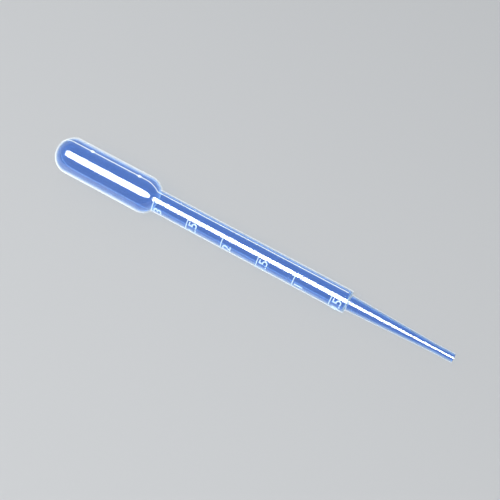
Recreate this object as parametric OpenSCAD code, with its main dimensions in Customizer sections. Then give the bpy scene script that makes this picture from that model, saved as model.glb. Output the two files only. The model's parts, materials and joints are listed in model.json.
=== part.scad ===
// A 3 mL graduated transfer pipette: one thin moulding of clear, flexible plastic.
// Each node is one region of the moulding's wall, or one feature raised on it, and
// neighbouring regions meet face to face.
//
// It lies on a flat surface, on the bulb's shoulder and on the corner of the stem's step.
// +X runs from the closed end of the bulb to the tip, +Y is level and +Z is up. The origin
// is on that surface, under the middle of the whole length.

/* [Overall] */
// Length from the closed end of the bulb to the tip, mm
total_length = 150; // [140:1:170]
// Turn of the mould's parting plane from upright, about the pipette's axis, degrees
parting_turn = 20.4; // [0:0.2:40]

/* [Bulb] */
// Outside diameter of the bulb, mm
bulb_d = 13.2; // [12.6:0.1:14]
// Length from the closed end to the neck, mm
bulb_length = 40.2; // [39:0.1:42]
// Wall thickness of the bulb, mm
bulb_wall = 0.5; // [0.4:0.05:0.6]
// Radius of the closed end's crown, mm
crown_r = 7.4; // [7:0.1:8]
// Radius that joins the crown to the barrel, mm
knuckle_r = 5.9; // [5.5:0.1:6]
// Radius of the convex shoulder, mm
shoulder_r = 5.8; // [5:0.1:6.2]

/* [Squeeze] */
// Start of the soft side walls, from the closed end, mm
soft_start = 7.5; // [7:0.1:10]
// End of the soft side walls, from the closed end, mm
soft_end = 34; // [30:0.1:34]
// Gap around a soft side wall, mm
soft_gap = 0.15; // [0.1:0.05:0.2]
// Travel of each side wall at a full squeeze, mm
squeeze_travel = 3.6; // [2:0.1:3.6]
// Room left between a squeezed wall's edges and the parting plane, mm
squeeze_room = 0.4; // [0.2:0.05:0.6]

/* [Stem] */
// Outside diameter of the stem, mm
stem_d = 8; // [7.6:0.1:8.2]
// Wall thickness of the stem, mm
stem_wall = 0.55; // [0.4:0.05:0.6]
// Place of the step between the stem and the tip, from the closed end, mm
step_x = 113.4; // [112:0.1:116]
// Edge radius of the step, mm
step_edge_r = 0.6; // [0.3:0.05:0.8]

/* [Tip] */
// Outside diameter of the tip at its root, mm
tip_root_d = 5.5; // [5:0.1:5.8]
// Outside diameter of the spout, mm
spout_d = 3.15; // [3:0.05:3.4]
// Bore of the spout, mm
spout_bore_d = 2; // [1.6:0.1:2.2]
// Length of the parallel spout at the end of the tip, mm
spout_length = 7; // [5:0.5:9]
// Wall thickness of the tip at its root, mm
tip_root_wall = 0.55; // [0.45:0.05:0.65]

/* [Graduations] */
// Place of the highest line, from the closed end, mm
top_line_x = 40.9; // [40.7:0.1:42]
// Distance between two lines, which is half a millilitre of the bore, mm
line_pitch = 13.4; // [13:0.05:13.6]
// Width of a line along the stem, mm
line_width = 0.35; // [0.2:0.05:0.5]
// Height of a line above the stem, mm
line_height = 0.12; // [0.05:0.01:0.2]
// Angle that a line covers around the stem, degrees
line_angle = 90; // [60:5:120]

/* [Parting line] */
// Width of the raised parting line, mm
seam_width = 0.3; // [0.15:0.05:0.4]
// Height of the parting line above the wall, mm
seam_height = 0.08; // [0.04:0.01:0.12]
// Radius of the two small beads on the parting line, mm
bead_r = 0.5; // [0.3:0.05:0.6]
// Place of the bead nearest the closed end, mm
rear_bead_x = 13.5; // [9:0.5:14]
// Place of the bead nearest the neck, mm
front_bead_x = 32.5; // [24:0.5:33]

/* [Hidden] */
$fn = 96;
fine_fn = 384;

// Colours of the clear wall, of the squeezed walls and of the raised features
wall_colour = [0.74, 0.84, 0.95, 0.45];
soft_colour = [0.62, 0.76, 0.95, 0.45];
mark_colour = [0.93, 0.96, 1, 0.8];

bulb_r = bulb_d / 2;
stem_r = stem_d / 2;
bore_r = stem_r - stem_wall;
tip_root_r = tip_root_d / 2;
tip_bore_r = tip_root_r - tip_root_wall;
spout_r = spout_d / 2;
spout_bore_r = spout_bore_d / 2;
spout_x = total_length - spout_length;

// The knuckle's centre, where its arc is tangent to the crown and to the barrel
knuckle_centre_r = bulb_r - knuckle_r;
knuckle_x = crown_r - sqrt(pow(crown_r - knuckle_r, 2) - pow(knuckle_centre_r, 2));
crown_angle = atan2(knuckle_x - crown_r, knuckle_centre_r);

// The shoulder's centre: its arc leaves the barrel and reaches the stem at the neck
shoulder_centre_r = bulb_r - shoulder_r;
shoulder_x = bulb_length - sqrt(pow(shoulder_r, 2) - pow(stem_r - shoulder_centre_r, 2));

// Half the width of a soft wall, so that the two walls' edges stay apart when squeezed
soft_half = sqrt(pow(bulb_r - bulb_wall, 2) - pow(squeeze_travel + squeeze_room, 2));

// The stem's three lengths of tube, and the short ring that carries the step
step_ring = 2 * step_edge_r;
tube_end = step_x - step_ring;
tube_length = (tube_end - bulb_length) / 3;

// The surface touches the shoulder's arc and the step's edge arc, so the axis slopes down
// to the tip at the angle of the line that is tangent to both
arc_run = step_x - step_edge_r - shoulder_x;
arc_drop = (stem_r - step_edge_r) - shoulder_centre_r;
arc_span = sqrt(pow(arc_run, 2) + pow(arc_drop, 2));
slope = asin((shoulder_r - step_edge_r) / arc_span) - atan2(arc_drop, arc_run);
axis_height = shoulder_x * sin(slope) + shoulder_centre_r * cos(slope) + shoulder_r;
reach = total_length * cos(slope) + spout_r * sin(slope);
back = crown_r * (1 - cos(slope)) + seam_height;
middle = (reach - back) / 2;

// From the pipette's own frame, with its axis on X and its parting plane on XZ, to the
// resting place
module lay_down() {
    translate([-middle, 0, axis_height])
        rotate([0, slope, 0])
            rotate([-parting_turn, 0, 0])
                children();
}

// Turns an outline of [radius, distance along the axis] about the X axis
module turned() {
    rotate([0, 90, 0])
        rotate_extrude()
            children();
}

// The part of an outline between two distances along the axis
module along(from_x, to_x) {
    intersection() {
        children();
        translate([0, from_x])
            square([bulb_d, to_x - from_x]);
    }
}

// A ring about a centre, from a low to a high offset from radius r, seen between two angles
module arc_band(centre, r, low, high, from_angle, to_angle) {
    far = 2 * r;
    translate(centre)
        intersection() {
            difference() {
                circle(r + high);
                circle(r + low);
            }
            polygon([
                [0, 0],
                far * [cos(from_angle), sin(from_angle)],
                far * [cos((from_angle + to_angle) / 2), sin((from_angle + to_angle) / 2)],
                far * [cos(to_angle), sin(to_angle)]
            ]);
        }
}

// The bulb's outline as a layer between two offsets from its outside
module bulb_layer(low, high) {
    arc_band([0, crown_r], crown_r, low, high, -90, crown_angle);
    arc_band([knuckle_centre_r, knuckle_x], knuckle_r, low, high, crown_angle, 0);
    translate([bulb_r + low, knuckle_x])
        square([high - low, shoulder_x - knuckle_x]);
    shoulder_layer(low, high);
}

// The shoulder's part of that outline, down to the stem
module shoulder_layer(low, high) {
    foot_r = stem_r + max(low, -stem_wall);
    intersection() {
        arc_band([shoulder_centre_r, shoulder_x], shoulder_r, low, high, 0, 90);
        translate([foot_r, shoulder_x])
            square([bulb_r + high - foot_r, bulb_length - shoulder_x]);
    }
}

// A straight tube between two distances along the axis
module tube(inner_r, outer_r, from_x, to_x) {
    turned()
        translate([inner_r, from_x])
            square([outer_r - inner_r, to_x - from_x]);
}

// The bulb's barrel between the closed end and the shoulder
module soft_barrel() {
    turned()
        along(soft_start, soft_end)
            bulb_layer(-bulb_wall, 0);
}

// The fixed strip of the barrel on one side of the parting plane: side 1 is up, -1 is down
module barrel_rib(side) {
    lay_down()
        intersection() {
            soft_barrel();
            translate([0, -bulb_r, side > 0 ? soft_half : -soft_half - bulb_r])
                cube([total_length, bulb_d, bulb_r]);
        }
}

// The soft wall on one side of the parting plane: side -1 is the graduated side
module side_wall(side) {
    half_width = soft_half - soft_gap;
    lay_down()
        intersection() {
            soft_barrel();
            translate([soft_start + soft_gap, side > 0 ? 0 : -bulb_r, -half_width])
                cube([soft_end - soft_start - 2 * soft_gap, bulb_r, 2 * half_width]);
        }
}

// One of the stem's three tubes, counted from the neck
module stem_tube(index) {
    from_x = bulb_length + index * tube_length;
    color(wall_colour)
        lay_down()
            tube(bore_r, stem_r, from_x, from_x + tube_length);
}

// One graduation, a raised line on the thumb side, counted from the highest
module graduation(index) {
    color(mark_colour)
        lay_down()
            translate([top_line_x + index * line_pitch, 0, 0])
                rotate([0, 90, 0])
                    rotate([0, 0, -90 - line_angle / 2])
                        rotate_extrude(angle = line_angle)
                            line_crest();
}

// The rounded section of a graduation, standing on the stem
module line_crest() {
    crest_r = (pow(line_width / 2, 2) + pow(line_height, 2)) / (2 * line_height);
    intersection() {
        translate([stem_r + line_height - crest_r, 0])
            circle(crest_r);
        translate([stem_r, -line_width])
            square([line_width, 2 * line_width]);
    }
}

// Keeps the children's part on the parting plane: side 1 is up, -1 is down, 0 is both
module on_parting_plane(side) {
    color(mark_colour)
        lay_down()
            intersection() {
                children();
                translate([-bulb_r, -seam_width / 2, side > 0 ? 0 : -bulb_d])
                    cube([total_length, seam_width, side == 0 ? 2 * bulb_d : bulb_d]);
            }
}

// The parting line raised on a stretch of the bulb
module bulb_seam(side, from_x, to_x) {
    on_parting_plane(side)
        turned()
            along(from_x, to_x)
                bulb_layer(0, seam_height);
}

// The parting line raised on the stem
module stem_seam(side) {
    top = stem_r + seam_height;
    color(mark_colour)
        lay_down()
            difference() {
                translate([bulb_length, -seam_width / 2, side > 0 ? 0 : -top])
                    cube([tube_end - bulb_length, seam_width, top]);
                rotate([0, 90, 0])
                    cylinder(r = stem_r, h = total_length, $fn = fine_fn);
            }
}

// A small bead on the upper parting line, fitted over the wall and the raised line
module seam_bead(x) {
    ridge_r = bulb_r + seam_height;
    color(mark_colour)
        lay_down()
            difference() {
                translate([x, 0, bulb_r])
                    sphere(bead_r);
                rotate([0, 90, 0])
                    cylinder(r = bulb_r, h = bulb_length);
                translate([0, -seam_width / 2, 0])
                    cube([bulb_length, seam_width, ridge_r]);
            }
}

module bulb_end() {
    color(wall_colour)
        lay_down()
            turned()
                along(-seam_height, soft_start)
                    bulb_layer(-bulb_wall, 0);
}

module bulb_upper_rib() {
    color(wall_colour)
        barrel_rib(1);
}

module bulb_lower_rib() {
    color(wall_colour)
        barrel_rib(-1);
}

module bulb_shoulder() {
    color(wall_colour)
        lay_down()
            turned()
                along(soft_end, bulb_length)
                    bulb_layer(-bulb_wall, 0);
}

module thumb_wall() {
    color(soft_colour)
        side_wall(-1);
}

module finger_wall() {
    color(soft_colour)
        side_wall(1);
}

module stem_upper_tube() {
    stem_tube(0);
}

module stem_middle_tube() {
    stem_tube(1);
}

module stem_lower_tube() {
    stem_tube(2);
}

module stem_step() {
    color(wall_colour)
        lay_down()
            turned() {
                translate([bore_r, tube_end])
                    square([stem_wall, step_ring - step_edge_r]);
                translate([tip_bore_r, step_x - step_edge_r])
                    square([stem_r - step_edge_r - tip_bore_r, step_edge_r]);
                intersection() {
                    translate([stem_r - step_edge_r, step_x - step_edge_r])
                        circle(step_edge_r);
                    translate([stem_r - step_edge_r, step_x - step_edge_r])
                        square(step_edge_r);
                }
            }
}

module tip_cone() {
    color(wall_colour)
        lay_down()
            turned()
                polygon([
                    [tip_bore_r, step_x],
                    [tip_root_r, step_x],
                    [spout_r, spout_x],
                    [spout_bore_r, spout_x]
                ]);
}

module tip_spout() {
    color(wall_colour)
        lay_down()
            tube(spout_bore_r, spout_r, spout_x, total_length);
}

module line_3_0_ml() {
    graduation(0);
}

module line_2_5_ml() {
    graduation(1);
}

module line_2_0_ml() {
    graduation(2);
}

module line_1_5_ml() {
    graduation(3);
}

module line_1_0_ml() {
    graduation(4);
}

module line_0_5_ml() {
    graduation(5);
}

module seam_bulb_end() {
    bulb_seam(0, -seam_height, soft_start);
}

module seam_bulb_upper() {
    bulb_seam(1, soft_start, soft_end);
}

module seam_bulb_lower() {
    bulb_seam(-1, soft_start, soft_end);
}

module seam_shoulder_upper() {
    bulb_seam(1, soft_end, bulb_length);
}

module seam_shoulder_lower() {
    bulb_seam(-1, soft_end, bulb_length);
}

module seam_stem_upper() {
    stem_seam(1);
}

module seam_stem_lower() {
    stem_seam(-1);
}

module seam_bead_rear() {
    seam_bead(rear_bead_x);
}

module seam_bead_front() {
    seam_bead(front_bead_x);
}

bulb_end();
bulb_upper_rib();
bulb_lower_rib();
bulb_shoulder();
thumb_wall();
finger_wall();
stem_upper_tube();
stem_middle_tube();
stem_lower_tube();
stem_step();
tip_cone();
tip_spout();
line_3_0_ml();
line_2_5_ml();
line_2_0_ml();
line_1_5_ml();
line_1_0_ml();
line_0_5_ml();
seam_bulb_end();
seam_bulb_upper();
seam_bulb_lower();
seam_shoulder_upper();
seam_shoulder_lower();
seam_stem_upper();
seam_stem_lower();
seam_bead_rear();
seam_bead_front();
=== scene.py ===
"""The looks of a 3 ml graduated transfer pipette, lying on a pale floor.

The pipette is one thin moulding of clear plastic. Its wall is turned from one outline, inside
and outside, and parted where the bulb bends when it is squeezed. The parting line of the mould,
the graduations, their figures and two small beads stand on the wall.

Everything is modelled in the pipette's own frame and then laid in its place. In its own frame
the closed end is at the origin, the axis runs along +X, the mould's parting plane is XZ and the
graduated side, where the thumb goes, faces -Y.
"""
import json
from math import atan2, cos, hypot, pi, radians, sin, sqrt, tau

import bmesh
import bpy
from mathutils import Matrix, Vector

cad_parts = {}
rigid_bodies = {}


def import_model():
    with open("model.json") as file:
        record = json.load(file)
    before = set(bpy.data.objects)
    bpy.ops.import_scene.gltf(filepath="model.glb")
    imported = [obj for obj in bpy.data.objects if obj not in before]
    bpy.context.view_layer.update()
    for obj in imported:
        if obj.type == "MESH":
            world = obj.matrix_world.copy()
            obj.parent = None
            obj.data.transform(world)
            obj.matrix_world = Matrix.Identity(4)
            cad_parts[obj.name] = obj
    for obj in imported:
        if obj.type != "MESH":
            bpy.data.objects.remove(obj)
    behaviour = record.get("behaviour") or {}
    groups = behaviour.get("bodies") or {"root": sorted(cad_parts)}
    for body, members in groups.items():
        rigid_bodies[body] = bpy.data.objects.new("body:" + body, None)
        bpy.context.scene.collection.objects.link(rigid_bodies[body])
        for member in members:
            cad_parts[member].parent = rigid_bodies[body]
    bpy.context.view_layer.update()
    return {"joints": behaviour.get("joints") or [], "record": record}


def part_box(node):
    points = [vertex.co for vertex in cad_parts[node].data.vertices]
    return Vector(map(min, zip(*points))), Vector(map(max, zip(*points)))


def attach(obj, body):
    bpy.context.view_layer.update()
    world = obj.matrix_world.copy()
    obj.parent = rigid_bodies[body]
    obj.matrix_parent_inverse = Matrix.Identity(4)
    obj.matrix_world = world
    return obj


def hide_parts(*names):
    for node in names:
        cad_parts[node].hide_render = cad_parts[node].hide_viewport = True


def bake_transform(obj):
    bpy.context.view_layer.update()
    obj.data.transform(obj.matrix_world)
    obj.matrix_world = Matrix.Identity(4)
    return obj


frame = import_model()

bl_info = {
    "name": "Graduated transfer pipette",
    "version": (1, 0, 0),
    "blender": (4, 5, 0),
    "location": "View3D > Sidebar > Pipette",
    "description": "Models the clear wall, graduations and stage of a squeeze-bulb pipette",
    "category": "Mesh",
}

MM = 0.001
MERGE = 1e-6
MOUNTS = {mount["name"]: mount for mount in frame["record"]["mounts"]}
SQUEEZE = {joint["name"]: joint for joint in frame["joints"]}["thumb_squeeze"]
SENSOR = 36  # the camera's width, in millimetres
X, Z = Vector((1, 0, 0)), Vector((0, 0, 1))


# ---- Places and sizes from the frame ----

def resting_place():
    """The matrix from the pipette's own frame to the place where it lies."""
    spout = MOUNTS["spout_bore"]
    along = Vector(spout["axis"]).normalized()
    inward = Vector(SQUEEZE["axis"])
    inward = (inward - along * inward.dot(along)).normalized()
    tip = Vector(spout["pos_m"]) + along * (spout["dims"]["length_mm"] * MM / 2)
    closed_end = tip + along * ((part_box("bulb_end")[0].x - tip.x) / along.x)
    turn = Matrix((along, inward, along.cross(inward))).transposed()
    return Matrix.Translation(closed_end) @ turn.to_4x4()


PLACE = resting_place()


def station(node, radius, end):
    """How far along the axis a CAD node's end ring lies: end 0 is its bulb side, 1 its tip side."""
    along = PLACE.to_3x3().col[0]
    slant = radius * hypot(along.y, along.z)
    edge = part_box(node)[end].x + (-slant if end else slant)
    return (edge - PLACE.translation.x) / along.x


def half_width(node):
    """The radius of a round CAD node, from its level width."""
    low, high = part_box(node)
    return (high.y - low.y) / 2


BULB_R = half_width("bulb_end")
STEM_R = MOUNTS["stem_grip"]["dims"]["r_mm"] * MM
SPOUT_R = MOUNTS["spout_outside"]["dims"]["r_mm"] * MM
SPOUT_BORE_R = MOUNTS["spout_bore"]["dims"]["r_mm"] * MM
TIP_ROOT_R = half_width("tip_cone")
NECK = station("stem_upper_tube", STEM_R, 0)
STEP = station("tip_cone", TIP_ROOT_R, 0)
SPOUT = station("tip_spout", SPOUT_R, 0)
TIP = station("tip_spout", SPOUT_R, 1)
SQUEEZE_MIDDLE = (station("thumb_wall", 0, 0) + station("thumb_wall", 0, 1)) / 2
LINES = {"3": "line_3_0_ml", "2.5": "line_2_5_ml", "2": "line_2_0_ml",
         "1.5": "line_1_5_ml", "1": "line_1_0_ml", "0.5": "line_0_5_ml"}
BEADS = ("seam_bead_rear", "seam_bead_front")
SEAMS = ("seam_bulb_end", "seam_bulb_upper", "seam_bulb_lower", "seam_shoulder_upper",
         "seam_shoulder_lower", "seam_stem_upper", "seam_stem_lower")
# The bulb's sides across the parting plane and its halves along the axis, with their directions
SIDES = {"thumb": -1, "finger": 1}
HALVES = {"rear": -1, "fore": 1}
# The pieces of the wall, with the CAD nodes that each replaces
WALLS = {
    "thumb_wall_rear": ("thumb_wall",),
    "thumb_wall_fore": ("thumb_wall",),
    "finger_wall_rear": ("finger_wall", "bulb_end"),
    "finger_wall_fore": ("finger_wall", "bulb_upper_rib", "bulb_lower_rib", "bulb_shoulder"),
    "stem_and_tip_wall": ("stem_upper_tube", "stem_middle_tube", "stem_lower_tube",
                          "stem_step", "tip_cone", "tip_spout"),
}


# ---- What a user would change ----

def length(name, description, default):
    """A length property, in metres."""
    return bpy.props.FloatProperty(name=name, description=description, default=default,
                                   min=0, subtype="DISTANCE", unit="LENGTH")


def colour(name, description, default):
    """A colour property."""
    return bpy.props.FloatVectorProperty(name=name, description=description, default=default,
                                         size=3, min=0, max=1, subtype="COLOR")


def share(name, description, default):
    """A property from 0 to 1."""
    return bpy.props.FloatProperty(name=name, description=description, default=default,
                                   min=0, max=1, subtype="FACTOR")


class PipetteShape(bpy.types.PropertyGroup):
    """Sizes of the wall's roundings and of what stands on it."""

    segments: bpy.props.IntProperty(
        name="Segments", description="Faces around the pipette, a multiple of four",
        default=128, min=32, max=256)
    crown_radius: length("Crown", "Radius of the closed end's crown", 7.4 * MM)
    knuckle_radius: length("Knuckle", "Radius between the crown and the barrel", 5.9 * MM)
    shoulder_radius: length("Shoulder", "Radius of the bulb's shoulder", 5.8 * MM)
    neck_fillet: length("Neck fillet", "Radius between the shoulder and the stem", 0.45 * MM)
    bulb_wall: length("Bulb wall", "Thickness of the bulb's wall", 0.5 * MM)
    stem_wall: length("Stem wall", "Thickness of the stem's and the tip's wall", 0.55 * MM)
    step_edge: length("Step edge", "Radius of the step's outer edge", 0.6 * MM)
    root_fillet: length("Root fillet", "Radius between the step and the tip", 0.25 * MM)
    rim_edge: length("Rim edge", "Radius of the spout's rim", 0.1 * MM)
    seam_width: length("Seam width", "Width of the raised parting line", 0.3 * MM)
    seam_height: length("Seam height", "Height of the parting line", 0.08 * MM)
    line_width: length("Line width", "Width of a graduation line", 0.35 * MM)
    line_height: length("Line height", "Height of a graduation line", 0.12 * MM)
    line_angle: bpy.props.FloatProperty(
        name="Line angle", description="How far a graduation reaches around the stem",
        default=radians(90), subtype="ANGLE", unit="ROTATION")
    figure_size: length("Figure size", "Type size of the figures", 4.4 * MM)
    figure_gap: length("Figure gap", "Room between a line and its figure", 0.45 * MM)
    figure_height: length("Figure relief", "How far a figure stands out", 0.1 * MM)
    bead_radius: length("Bead", "Radius of the beads on the parting line", 0.5 * MM)


class PipetteLooks(bpy.types.PropertyGroup):
    """Colours and finishes."""

    tint: colour("Tint", "Colour that the clear wall gives to what is seen through it",
                 (0.27, 0.50, 0.955))
    haze_colour: colour("Haze", "Colour of the wall's milky haze", (0.90, 0.97, 1.0))
    mark_colour: colour("Marks", "Colour of the raised lines and figures", (0.72, 0.87, 0.96))
    seam_colour: colour("Parting line", "Colour of the parting line and its beads",
                        (0.92, 0.99, 0.97))
    haze: share("Haze amount", "How milky the wall is, seen square on", 0.015)
    flank_haze: share("Flank haze", "How much milkier the wall's flanks are", 0.05)
    edge_haze: share("Edge haze", "How much milkier the wall is, seen edge on", 0.8)
    floor_colour: colour("Floor", "Colour of the floor", (0.60, 0.605, 0.61))
    key_power: bpy.props.FloatProperty(
        name="Key light", description="Power of the long softbox", default=8.1, min=0,
        unit="POWER")
    glint_power: bpy.props.FloatProperty(
        name="Glint", description="Power of the panel that only shows as a reflection",
        default=50.0, min=0, unit="POWER")
    edge_power: bpy.props.FloatProperty(
        name="Edge lights", description="Power of the low lamps that light the wall's edges",
        default=2.4, min=0, unit="POWER")


class PipetteStage(bpy.types.PropertyGroup):
    """The camera's and the floor's places."""

    turn: bpy.props.FloatProperty(
        name="Turn", description="The camera's turn around the pipette",
        default=radians(29.7), subtype="ANGLE", unit="ROTATION")
    rise: bpy.props.FloatProperty(
        name="Rise", description="The camera's height as an angle above the floor",
        default=radians(64.4), subtype="ANGLE", unit="ROTATION")
    distance: length("Distance", "From the camera to the floor at the view's centre", 251 * MM)
    focal: bpy.props.FloatProperty(
        name="Focal length", description="The lens, on a 36 mm sensor",
        default=53.4, subtype="DISTANCE_CAMERA", unit="CAMERA")


# ---- Modelling helpers ----

def deselect():
    """Leaves edit mode with nothing selected."""
    if bpy.context.object and bpy.context.object.mode != "OBJECT":
        bpy.ops.object.mode_set(mode="OBJECT")
    bpy.ops.object.select_all(action="DESELECT")


def only(piece):
    """Selects one piece alone and makes it the active one."""
    deselect()
    piece.select_set(True)
    bpy.context.view_layer.objects.active = piece


def edit(kind="VERT"):
    """Enters edit mode on the active piece, in the vertex, edge or face mode."""
    bpy.ops.object.mode_set(mode="EDIT")
    bpy.ops.mesh.select_mode(type=kind)


def pick_faces(test):
    """In edit mode, selects just the faces whose centre passes the test."""
    shape = bmesh.from_edit_mesh(bpy.context.object.data)
    for face in shape.faces:
        face.select_set(bool(test(face.calc_center_median())))
    bmesh.update_edit_mesh(bpy.context.object.data)


def name_piece(piece, name):
    """Names a piece and its mesh."""
    piece.name = name
    piece.data.name = name


def lay(piece):
    """Moves a finished piece from the pipette's own frame to where the pipette lies."""
    only(piece)
    piece.matrix_world = PLACE @ piece.matrix_world
    bpy.ops.object.transform_apply(location=True, rotation=True, scale=True)


def smooth(piece, angle=radians(32)):
    """Shades a piece smooth, with edges sharper than the angle kept crisp."""
    only(piece)
    bpy.ops.object.shade_smooth_by_angle(angle=angle)


def arc(centre, radius, start, stop, steps):
    """Points on an arc as (station, radius), its angles from the tip's direction outwards."""
    turns = [start + (stop - start) * step / steps for step in range(steps + 1)]
    return [(centre[0] + radius * cos(turn), centre[1] + radius * sin(turn)) for turn in turns]


def run(start, stop, steps):
    """Evenly spaced points from start to stop, without start itself."""
    return [tuple(a + (b - a) * step / steps for a, b in zip(start, stop))
            for step in range(1, steps + 1)]


# ---- The wall's outline ----

# Steps in each arc and each straight of the outline
CROWN_STEPS, KNUCKLE_STEPS, SHOULDER_STEPS, FILLET_STEPS = 10, 12, 14, 6
HALF_BARREL_STEPS, STEM_STEPS, CONE_STEPS, SPOUT_STEPS = 14, 24, 8, 3
STEP_EDGE_STEPS, ROOT_STEPS, LIP_STEPS = 8, 5, 4


def closed_end(shape, depth):
    """The crown's and the knuckle's arcs, a depth inside the outside, from the axis out."""
    knuckle_r = BULB_R - shape.knuckle_radius
    reach = sqrt((shape.crown_radius - shape.knuckle_radius) ** 2 - knuckle_r ** 2)
    knuckle_x = shape.crown_radius - reach
    meet = atan2(knuckle_r, -reach)
    crown = arc((shape.crown_radius, 0), shape.crown_radius - depth, pi, meet, CROWN_STEPS)
    knuckle = arc((knuckle_x, knuckle_r), shape.knuckle_radius - depth, meet, pi / 2,
                  KNUCKLE_STEPS)
    return crown + knuckle[1:]


def shoulder_and_neck(shape, depth, stem_r, fillet):
    """The shoulder's arc and the fillet at its foot, which touch, from the barrel to the stem."""
    centre_r = BULB_R - shape.shoulder_radius
    centre_x = NECK - sqrt(shape.shoulder_radius ** 2 - (STEM_R - centre_r) ** 2)
    radius = shape.shoulder_radius - depth
    rise = stem_r + fillet - centre_r
    go = sqrt((radius + fillet) ** 2 - rise ** 2)
    meet = atan2(rise, go)
    shoulder = arc((centre_x, centre_r), radius, pi / 2, meet, SHOULDER_STEPS)
    foot = arc((centre_x + go, stem_r + fillet), fillet, meet + pi, 3 * pi / 2, FILLET_STEPS)
    return shoulder + foot[1:]


def bulb_outline(shape, depth, stem_r, fillet):
    """The bulb from the axis at its closed end to the stem, a depth inside the outside."""
    end = closed_end(shape, depth)
    foot = shoulder_and_neck(shape, depth, stem_r, fillet)
    middle = (SQUEEZE_MIDDLE, BULB_R - depth)
    rear = run(end[-1], middle, HALF_BARREL_STEPS)
    fore = run(middle, foot[0], HALF_BARREL_STEPS)
    return end + rear + fore + foot[1:]


def outside(shape):
    """The outside of the whole wall, from the closed end to the spout's rim."""
    edge, root, rim = shape.step_edge, shape.root_fillet, shape.rim_edge
    bulb = bulb_outline(shape, 0, STEM_R, shape.neck_fillet)
    step = arc((STEP - edge, STEM_R - edge), edge, pi / 2, 0, STEP_EDGE_STEPS)
    foot = arc((STEP + root, TIP_ROOT_R + root), root, pi, 3 * pi / 2, ROOT_STEPS)
    lip = arc((TIP - rim, SPOUT_R - rim), rim, pi / 2, 0, LIP_STEPS)
    stem = run(bulb[-1], step[0], STEM_STEPS)
    cone = run(foot[-1], (SPOUT, SPOUT_R), CONE_STEPS)
    spout = run(cone[-1], lip[0], SPOUT_STEPS)
    return bulb + stem + step[1:] + foot + cone + spout + lip[1:]


def inside(shape):
    """The inside of the whole wall, from the spout's rim back to the closed end."""
    bore_r = STEM_R - shape.stem_wall
    tip_bore_r = TIP_ROOT_R - shape.stem_wall
    root_r = shape.stem_wall
    face = STEP - shape.step_edge
    rim = shape.rim_edge
    corner_r = rim * 4
    lip = arc((TIP - rim, SPOUT_BORE_R + rim), rim, 0, -pi / 2, LIP_STEPS)
    root = arc((face + root_r, tip_bore_r + root_r), root_r, -pi / 2, -pi, ROOT_STEPS)
    corner = arc((face - corner_r, bore_r - corner_r), corner_r, 0, pi / 2, ROOT_STEPS)
    bulb = bulb_outline(shape, shape.bulb_wall, bore_r, shape.neck_fillet + shape.stem_wall)
    spout = run(lip[-1], (SPOUT, SPOUT_BORE_R), SPOUT_STEPS)
    cone = run(spout[-1], root[0], CONE_STEPS)
    stem = run(corner[-1], bulb[-1], STEM_STEPS)
    return lip + spout + cone + root[1:] + corner + stem + bulb[::-1][1:]


def turn_outline(outline, segments):
    """A piece turned about the axis from an outline that starts and ends on it."""
    deselect()
    first = outline[0]
    bpy.ops.mesh.primitive_plane_add(size=MM, location=(first[0], 0, first[1]))
    piece = bpy.context.object
    bpy.ops.object.transform_apply(location=True, rotation=False, scale=False)
    edit()
    bpy.ops.mesh.select_all(action="SELECT")
    bpy.ops.mesh.merge(type="CENTER")
    for here, there in zip(outline, outline[1:]):
        move = (there[0] - here[0], 0, there[1] - here[1])
        bpy.ops.mesh.extrude_region_move(TRANSFORM_OT_translate={"value": move})
    bpy.ops.mesh.select_all(action="SELECT")
    bpy.ops.mesh.spin(steps=segments, angle=tau, center=(0, 0, 0), axis=X, use_auto_merge=False)
    bpy.ops.mesh.select_all(action="SELECT")
    bpy.ops.mesh.remove_doubles(threshold=MERGE)
    bpy.ops.mesh.normals_make_consistent(inside=False)
    bpy.ops.object.mode_set(mode="OBJECT")
    return piece


def part_off(piece, name, test):
    """Splits the faces that pass the test off a piece, as a piece of their own."""
    only(piece)
    before = set(bpy.data.objects)
    edit("FACE")
    pick_faces(test)
    bpy.ops.mesh.separate(type="SELECTED")
    bpy.ops.object.mode_set(mode="OBJECT")
    new = (set(bpy.data.objects) - before).pop()
    name_piece(new, name)
    return new


# ---- Materials ----

# How far from square on the wall is seen, from 0 to 1, where a haze starts and where it is full
FLANK = (0.22, 0.36)
EDGE = (0.46, 0.84)
# The plastic's refraction, and how deep its waves and its dull grain are
PLASTIC_IOR = 1.51
RELIEF_DEPTH = 0.03 * MM


class Value:
    """A number in a material: a socket, with Python's operators as Math nodes."""

    def __init__(self, finish, socket):
        self.finish = finish
        self.socket = socket

    def maths(self, operation, *values):
        """A Math node on these values."""
        return self.finish.node("ShaderNodeMath", {"operation": operation},
                                dict(enumerate(values)))

    def __add__(self, other):
        return self.maths("ADD", self, other)

    def __radd__(self, other):
        return self.maths("ADD", other, self)

    def __sub__(self, other):
        return self.maths("SUBTRACT", self, other)

    def __rsub__(self, other):
        return self.maths("SUBTRACT", other, self)

    def __mul__(self, other):
        return self.maths("MULTIPLY", self, other)

    def __rmul__(self, other):
        return self.maths("MULTIPLY", other, self)


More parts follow.
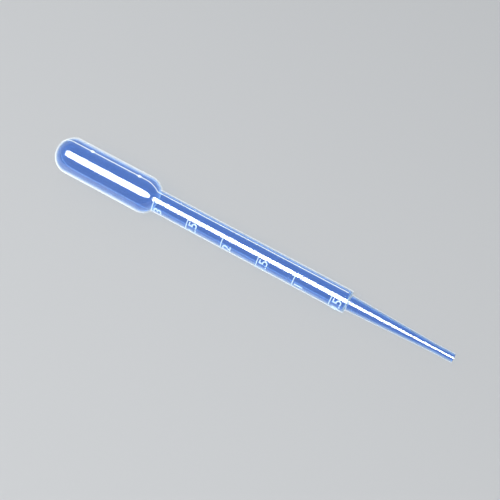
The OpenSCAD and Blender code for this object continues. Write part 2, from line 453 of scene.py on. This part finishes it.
class Finish:
    """A material and its nodes."""

    def __init__(self, name):
        self.material = bpy.data.materials.new(name)
        self.material.use_nodes = True
        self.tree = self.material.node_tree
        self.tree.nodes.clear()

    def node(self, kind, settings=None, sockets=None, output=0):
        """Adds a node: its settings first, then its sockets' values or links."""
        new = self.tree.nodes.new(kind)
        for setting, value in (settings or {}).items():
            setattr(new, setting, value)
        for name, value in (sockets or {}).items():
            if isinstance(value, Value):
                self.tree.links.new(value.socket, new.inputs[name])
            else:
                new.inputs[name].default_value = value
        return Value(self, new.outputs[output])

    def show(self, surface):
        """Makes a shader the material's surface."""
        output = self.tree.nodes.new("ShaderNodeOutputMaterial")
        self.tree.links.new(surface.socket, output.inputs["Surface"])
        return self.material

    def place(self):
        """Object coordinates."""
        return self.node("ShaderNodeTexCoord", output=3)

    def noise(self, scale, detail=2.0, stretch=(1, 1, 1)):
        """Soft noise from 0 to 1, with features of about 1 / scale metres."""
        spot = self.node("ShaderNodeMapping", {}, {"Vector": self.place(), "Scale": stretch})
        return self.node("ShaderNodeTexNoise", {},
                         {"Vector": spot, "Scale": scale, "Detail": detail})

    def ramp(self, value, low, high):
        """A smooth rise from 0 to 1 as a value goes from low to high."""
        return self.node("ShaderNodeMapRange", {"interpolation_type": "SMOOTHSTEP"},
                         {"Value": value, "From Min": low, "From Max": high})

    def bump(self, height, strength, depth):
        """A normal that rises and falls with a height, depth metres deep."""
        return self.node("ShaderNodeBump", {},
                         {"Height": height, "Strength": strength, "Distance": depth})


def rgba(three):
    """A colour property with full alpha."""
    return (*three, 1.0)


def let_light_through(finish, surface, passed):
    """Lets lamps and the floor's light pass a clear surface straight, as through a thin wall."""
    clear = finish.node("ShaderNodeBsdfTransparent", {}, {"Color": passed})
    for ray in ("Is Diffuse Ray", "Is Shadow Ray"):
        which = finish.node("ShaderNodeLightPath", output=ray)
        surface = finish.node("ShaderNodeMixShader", {}, {0: which, 1: surface, 2: clear})
    return surface


def blown_plastic(looks):
    """Clear blue plastic, milkier where it is seen edge on, with a blown wall's soft waves."""
    finish = Finish("blown_plastic")
    waves = finish.noise(260, 2.0, (0.35, 1, 1))
    grain = finish.noise(2600, 3.0)
    normal = finish.bump(waves * 0.8 + grain * 0.12, 0.12, RELIEF_DEPTH)
    glass = finish.node("ShaderNodeBsdfPrincipled", {}, {
        "Base Color": rgba(looks.tint), "Roughness": grain * 0.05 + 0.035, "IOR": PLASTIC_IOR,
        "Transmission Weight": 1.0, "Coat Weight": 1.0, "Coat Roughness": 0.03,
        "Normal": normal})
    haze = finish.node("ShaderNodeBsdfPrincipled", {}, {
        "Base Color": rgba(looks.haze_colour), "Roughness": 0.25, "IOR": PLASTIC_IOR,
        "Normal": normal})
    facing = finish.node("ShaderNodeLayerWeight", {}, {"Blend": 0.5}, output=1)
    sides = finish.ramp(facing, *FLANK) * looks.flank_haze
    rims = finish.ramp(facing, *EDGE) * looks.edge_haze
    amount = looks.haze + sides + rims + (waves - 0.5) * 0.02
    body = finish.node("ShaderNodeMixShader", {}, {0: amount, 1: glass, 2: haze})
    return finish.show(let_light_through(finish, body, (0.96, 0.975, 0.99, 1)))


def dull_plastic(name, colour, clearness):
    """The same plastic where it is raised and dull: paler, and only partly clear."""
    finish = Finish(name)
    grain = finish.noise(3400, 3.0)
    normal = finish.bump(grain, 0.4, RELIEF_DEPTH)
    surface = finish.node("ShaderNodeBsdfPrincipled", {}, {
        "Base Color": rgba(colour), "Roughness": grain * 0.12 + 0.2, "IOR": PLASTIC_IOR,
        "Transmission Weight": clearness, "Normal": normal})
    return finish.show(let_light_through(finish, surface, (0.8, 0.88, 0.95, 1)))


def cut_marks(looks):
    """The raised lines and figures that the mould's cut marks leave."""
    return dull_plastic("cut_marks", looks.mark_colour, 0.45)


def pinched_plastic(looks):
    """The parting line and its beads, where the mould's halves pinched the plastic white."""
    return dull_plastic("pinched_plastic", looks.seam_colour, 0.1)


def floor_finish(looks):
    """A plain pale floor with the faintest unevenness."""
    finish = Finish("pale_floor")
    cloud = finish.noise(6, 3.0)
    surface = finish.node("ShaderNodeBsdfPrincipled", {}, {
        "Base Color": rgba(looks.floor_colour), "Roughness": cloud * 0.1 + 0.6,
        "Specular IOR Level": 0.02})
    return finish.show(surface)


def material(name, make):
    """A material by name, made the first time it's asked for."""
    return bpy.data.materials.get(name) or make(bpy.context.scene.pipette_looks)


def finish_piece(piece, made):
    """Gives a piece its material."""
    piece.data.materials.clear()
    piece.data.materials.append(made)


# ---- Operators ----


class PIPETTE_OT_wall(bpy.types.Operator):
    """Turn the clear wall, inside and outside, and part it where the bulb bends"""

    bl_idname = "pipette.wall"
    bl_label = "Clear wall"

    def execute(self, context):
        shape = context.scene.pipette_shape
        wall = turn_outline(outside(shape) + inside(shape), shape.segments)
        smooth(wall)
        below_neck = NECK + shape.neck_fillet + shape.stem_wall
        stretches = {"rear": (0, SQUEEZE_MIDDLE), "fore": (SQUEEZE_MIDDLE, below_neck)}
        pieces = {"stem_and_tip_wall": wall}
        for hand, side in SIDES.items():
            for half, (low, high) in stretches.items():
                name = f"{hand}_wall_{half}"
                pieces[name] = part_off(
                    wall, name, lambda at: low < at.x < high and side * at.y > 0)
        name_piece(wall, "stem_and_tip_wall")
        for name, piece in pieces.items():
            lay(piece)
            finish_piece(piece, material("blown_plastic", blown_plastic))
            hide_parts(*WALLS[name])
        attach(wall, "moulding")
        for hand, side in SIDES.items():
            for half, toward in HALVES.items():
                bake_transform(pieces[f"{hand}_wall_{half}"])
        return {"FINISHED"}


class PIPETTE_OT_parting_line(bpy.types.Operator):
    """Run a thin raised bead along the mould's parting line, round the closed end"""

    bl_idname = "pipette.parting_line"
    bl_label = "Parting line"

    def execute(self, context):
        shape = context.scene.pipette_shape
        deselect()
        bpy.ops.mesh.primitive_circle_add(vertices=12, radius=shape.seam_width / 2)
        bead = context.object
        flat = shape.seam_height / (shape.seam_width / 2)
        edit()
        bpy.ops.mesh.select_all(action="SELECT")
        bpy.ops.transform.resize(value=(flat, 1, 1))
        path = bulb_outline(shape, 0, STEM_R, shape.neck_fillet)
        path.append((STEP - 2 * shape.step_edge, STEM_R))
        heading = 0.0
        for here, there in zip(path, path[1:]):
            bearing = atan2(there[0] - here[0], there[1] - here[1])
            move = (there[0] - here[0], 0, there[1] - here[1])
            bpy.ops.mesh.extrude_region_move(TRANSFORM_OT_translate={"value": move})
            self.turn_end(there, bearing, heading)
            heading = bearing
        bpy.ops.mesh.edge_face_add()
        bpy.ops.mesh.select_all(action="SELECT")
        bpy.ops.mesh.duplicate()
        bpy.ops.transform.rotate(value=pi, orient_axis="X", center_override=(0, 0, 0))
        bpy.ops.mesh.select_all(action="SELECT")
        bpy.ops.mesh.remove_doubles(threshold=MERGE)
        bpy.ops.mesh.normals_make_consistent(inside=False)
        bpy.ops.object.mode_set(mode="OBJECT")
        name_piece(bead, "parting_line")
        smooth(bead)
        lay(bead)
        finish_piece(bead, material("pinched_plastic", pinched_plastic))
        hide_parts(*SEAMS)
        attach(bead, "moulding")
        return {"FINISHED"}

    @staticmethod
    def turn_end(spot, bearing, heading):
        """Turns the end that was just drawn out, so that it stays square to the path."""
        if abs(bearing - heading) > MERGE:
            bpy.ops.transform.rotate(value=-(bearing - heading), orient_axis="Y",
                                     center_override=(spot[0], 0, spot[1]))


class PIPETTE_OT_graduations(bpy.types.Operator):
    """Raise the six graduation lines on the thumb's side of the stem"""

    bl_idname = "pipette.graduations"
    bl_label = "Graduation lines"

    def execute(self, context):
        shape = context.scene.pipette_shape
        first = None
        for node in LINES.values():
            at = (station(node, 0, 0) + station(node, 0, 1)) / 2
            line = self.copy(first) if first else self.first_line(shape)
            first = first or line
            line.location = (at, 0, 0)
            name_piece(line, f"raised_{node}")
        for node in LINES.values():
            line = bpy.data.objects[f"raised_{node}"]
            smooth(line)
            lay(line)
            finish_piece(line, material("cut_marks", cut_marks))
            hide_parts(node)
            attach(line, "moulding")
        return {"FINISHED"}

    @staticmethod
    def first_line(shape):
        """One line: a flattened ring swept part of the way round the stem, facing the thumb."""
        deselect()
        bpy.ops.mesh.primitive_circle_add(
            vertices=16, radius=shape.line_width / 2, rotation=(pi / 2, 0, 0),
            location=(0, 0, STEM_R))
        line = bpy.context.object
        bpy.ops.object.transform_apply(location=True, rotation=True, scale=False)
        edit()
        bpy.ops.mesh.select_all(action="SELECT")
        bpy.ops.transform.resize(value=(1, 1, shape.line_height / (shape.line_width / 2)),
                                 center_override=(0, 0, STEM_R))
        bpy.ops.mesh.edge_face_add()
        bpy.ops.mesh.spin(steps=40, angle=shape.line_angle, center=(0, 0, 0), axis=X,
                          use_auto_merge=False)
        bpy.ops.mesh.select_all(action="SELECT")
        bpy.ops.mesh.normals_make_consistent(inside=False)
        bpy.ops.object.mode_set(mode="OBJECT")
        middle = sum((v.co for v in line.data.vertices), Vector()) / len(line.data.vertices)
        line.rotation_euler.x = pi - atan2(middle.z, middle.y)
        bpy.ops.object.transform_apply(location=True, rotation=True, scale=False)
        return line

    @staticmethod
    def copy(line):
        """A copy of a line, with its own mesh."""
        only(line)
        bpy.ops.object.duplicate(linked=False)
        return bpy.context.object


class PIPETTE_OT_figures(bpy.types.Operator):
    """Raise a figure beside each graduation line"""

    bl_idname = "pipette.figures"
    bl_label = "Figures"

    def execute(self, context):
        shape = context.scene.pipette_shape
        for figure, node in LINES.items():
            at = station(node, 0, 1) + shape.figure_gap
            piece = self.flat_figure(shape, figure)
            self.wrap(piece, at)
            name_piece(piece, "figure_" + figure.replace(".", "_"))
            self.thicken(piece, shape)
            smooth(piece)
            lay(piece)
            finish_piece(piece, material("cut_marks", cut_marks))
            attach(piece, "moulding")
        return {"FINISHED"}

    @staticmethod
    def flat_figure(shape, figure):
        """A flat figure in small faces, so that it can follow the stem's curve."""
        deselect()
        bpy.ops.object.text_add()
        text = bpy.context.object
        text.data.body = figure
        text.data.size = shape.figure_size
        text.data.align_x = "CENTER"
        text.data.align_y = "BOTTOM_BASELINE"
        text.data.resolution_u = 6
        bpy.ops.object.convert(target="MESH")
        piece = bpy.context.object
        edit()
        bpy.ops.mesh.select_all(action="SELECT")
        bpy.ops.mesh.remove_doubles(threshold=MERGE)
        bpy.ops.mesh.subdivide(number_cuts=2)
        bpy.ops.object.mode_set(mode="OBJECT")
        return piece

    @staticmethod
    def wrap(piece, at):
        """Wraps a flat figure round the stem, its top towards the bulb, starting at a station."""
        top = max(v.co.y for v in piece.data.vertices)
        for v in piece.data.vertices:
            turn = v.co.x / STEM_R
            v.co = (at + top - v.co.y, -STEM_R * cos(turn), STEM_R * sin(turn))
        only(piece)
        edit()
        bpy.ops.mesh.select_all(action="SELECT")
        bpy.ops.mesh.normals_make_consistent(inside=False)
        bpy.ops.object.mode_set(mode="OBJECT")
        face = piece.data.polygons[0]
        if face.normal.dot(Vector((0, face.center.y, face.center.z))) < 0:
            bpy.ops.object.mode_set(mode="EDIT")
            bpy.ops.mesh.flip_normals()
            bpy.ops.object.mode_set(mode="OBJECT")

    @staticmethod
    def thicken(piece, shape):
        """Gives a wrapped figure its relief, and a foot a little inside the wall."""
        foot = 0.3  # as a share of the relief
        outwards = 0.55  # leaves the foot inside and the relief outside
        only(piece)
        solid = piece.modifiers.new("relief", "SOLIDIFY")
        solid.thickness = shape.figure_height * (1 + foot)
        solid.offset = outwards
        bpy.ops.object.modifier_apply(modifier="relief")


class PIPETTE_OT_beads(bpy.types.Operator):
    """Set the two small beads on the upper parting line"""

    bl_idname = "pipette.beads"
    bl_label = "Beads"

    def execute(self, context):
        radius = context.scene.pipette_shape.bead_radius
        long_and_flat = (1.5, 1, 0.7)
        for node in BEADS:
            at = (station(node, 0, 0) + station(node, 0, 1)) / 2
            deselect()
            bpy.ops.mesh.primitive_uv_sphere_add(
                segments=32, ring_count=20, radius=radius, location=(at, 0, BULB_R))
            bead = context.object
            bpy.ops.object.transform_apply(location=True, rotation=False, scale=False)
            edit()
            bpy.ops.mesh.select_all(action="SELECT")
            bpy.ops.transform.resize(value=long_and_flat, center_override=(at, 0, BULB_R))
            bpy.ops.object.mode_set(mode="OBJECT")
            name_piece(bead, f"round_{node}")
            smooth(bead)
            lay(bead)
            finish_piece(bead, material("pinched_plastic", pinched_plastic))
            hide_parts(node)
            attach(bead, "moulding")
        return {"FINISHED"}


class PIPETTE_OT_stage(bpy.types.Operator):
    """Lay the pale floor and set up the soft lights and the camera"""

    bl_idname = "pipette.stage"
    bl_label = "Floor, lights and camera"

    def execute(self, context):
        looks = context.scene.pipette_looks
        pieces = bpy.data.collections.new("pieces_lit_on_edge")
        for piece in context.scene.objects:
            if piece.type == "MESH":
                pieces.objects.link(piece)
        self.floor(context)
        key = self.softbox("long_softbox", (-0.22, -0.375, 0.90), (1.05, 0.63), looks.key_power)
        glint = self.softbox("glint_panel", (0.45, -0.25, 0.60), (1.7, 0.42), looks.glint_power)
        low = (0.6, 0.1)
        near = self.softbox("near_edge_lamp", (-0.22, -0.45, 0.07), low, looks.edge_power)
        far = self.softbox("far_edge_lamp", (-0.10, 0.50, 0.07), low, looks.edge_power * 0.9)
        # The glint panel alone makes the white band, and the edge lamps leave the floor alone
        glint.visible_diffuse = False
        for lamp in (key, near, far):
            lamp.visible_glossy = False
        for lamp in (key, glint, near, far):
            lamp.visible_transmission = False
        for lamp in (near, far):
            lamp.light_linking.receiver_collection = pieces
        self.sky(context.scene)
        self.camera(context, context.scene.pipette_stage)
        return {"FINISHED"}

    @staticmethod
    def floor(context):
        """A wide pale floor under the pipette."""
        deselect()
        bpy.ops.mesh.primitive_plane_add(size=4, location=(0, 0, 0))
        floor = context.object
        name_piece(floor, "floor")
        floor.data.materials.append(material("pale_floor", floor_finish))

    @staticmethod
    def softbox(name, place, size, power):
        """A rectangular lamp that faces the pipette's axis, its long side along it."""
        lamp = bpy.data.lights.new(name, "AREA")
        lamp.shape = "RECTANGLE"
        lamp.size, lamp.size_y = size
        lamp.energy = power
        box = bpy.data.objects.new(name, lamp)
        bpy.context.scene.collection.objects.link(box)
        back = Vector((0, place[1], place[2])).normalized()
        box.matrix_world = Matrix.Translation(place) @ Matrix(
            (X, back.cross(X), back)).transposed().to_4x4()
        return box

    @staticmethod
    def sky(scene):
        """An even pale surrounding."""
        world = bpy.data.worlds.new("studio")
        world.use_nodes = True
        shade = world.node_tree.nodes["Background"]
        shade.inputs["Color"].default_value = (0.90, 0.95, 1.0, 1)
        shade.inputs["Strength"].default_value = 0.4
        scene.world = world
        scene.view_settings.view_transform = "Standard"

    @staticmethod
    def camera(context, stage):
        """The camera, looking at the floor under the middle of the pipette."""
        eye = Vector((sin(stage.turn) * cos(stage.rise), -cos(stage.turn) * cos(stage.rise),
                      sin(stage.rise)))
        target = Vector((0.56 * MM, 2.2 * MM, 0))
        view = bpy.data.cameras.new("camera")
        view.lens = stage.focal
        view.sensor_width = SENSOR
        view.clip_start = 0.005
        view.clip_end = 20
        camera = bpy.data.objects.new("camera", view)
        context.scene.collection.objects.link(camera)
        right = Z.cross(eye).normalized()
        camera.matrix_world = Matrix.Translation(target + eye * stage.distance) @ Matrix(
            (right, eye.cross(right), eye)).transposed().to_4x4()
        context.scene.camera = camera


class PIPETTE_PT_panel(bpy.types.Panel):
    """Lists the pipette's pieces and settings"""

    bl_idname = "PIPETTE_PT_panel"
    bl_label = "Transfer pipette"
    bl_space_type = "VIEW_3D"
    bl_region_type = "UI"
    bl_category = "Pipette"

    def draw(self, context):
        for group in (context.scene.pipette_shape, context.scene.pipette_looks,
                      context.scene.pipette_stage):
            box = self.layout.box()
            for name in group.__annotations__:
                box.prop(group, name)
        for operator in OPERATORS:
            self.layout.operator(operator.bl_idname)


OPERATORS = (PIPETTE_OT_wall, PIPETTE_OT_parting_line, PIPETTE_OT_graduations,
             PIPETTE_OT_figures, PIPETTE_OT_beads, PIPETTE_OT_stage)
GROUPS = {"pipette_shape": PipetteShape, "pipette_looks": PipetteLooks,
          "pipette_stage": PipetteStage}


def register():
    """Registers the settings, the operators and the panel."""
    for name, group in GROUPS.items():
        bpy.utils.register_class(group)
        setattr(bpy.types.Scene, name, bpy.props.PointerProperty(type=group))
    for kind in (*OPERATORS, PIPETTE_PT_panel):
        bpy.utils.register_class(kind)


def unregister():
    """Takes everything that register added away again."""
    for kind in (PIPETTE_PT_panel, *reversed(OPERATORS)):
        bpy.utils.unregister_class(kind)
    for name, group in GROUPS.items():
        delattr(bpy.types.Scene, name)
        bpy.utils.unregister_class(group)


def main():
    register()
    bpy.ops.pipette.wall()
    bpy.ops.pipette.parting_line()
    bpy.ops.pipette.graduations()
    bpy.ops.pipette.figures()
    bpy.ops.pipette.beads()
    bpy.ops.pipette.stage()


if __name__ == "__main__":
    main()
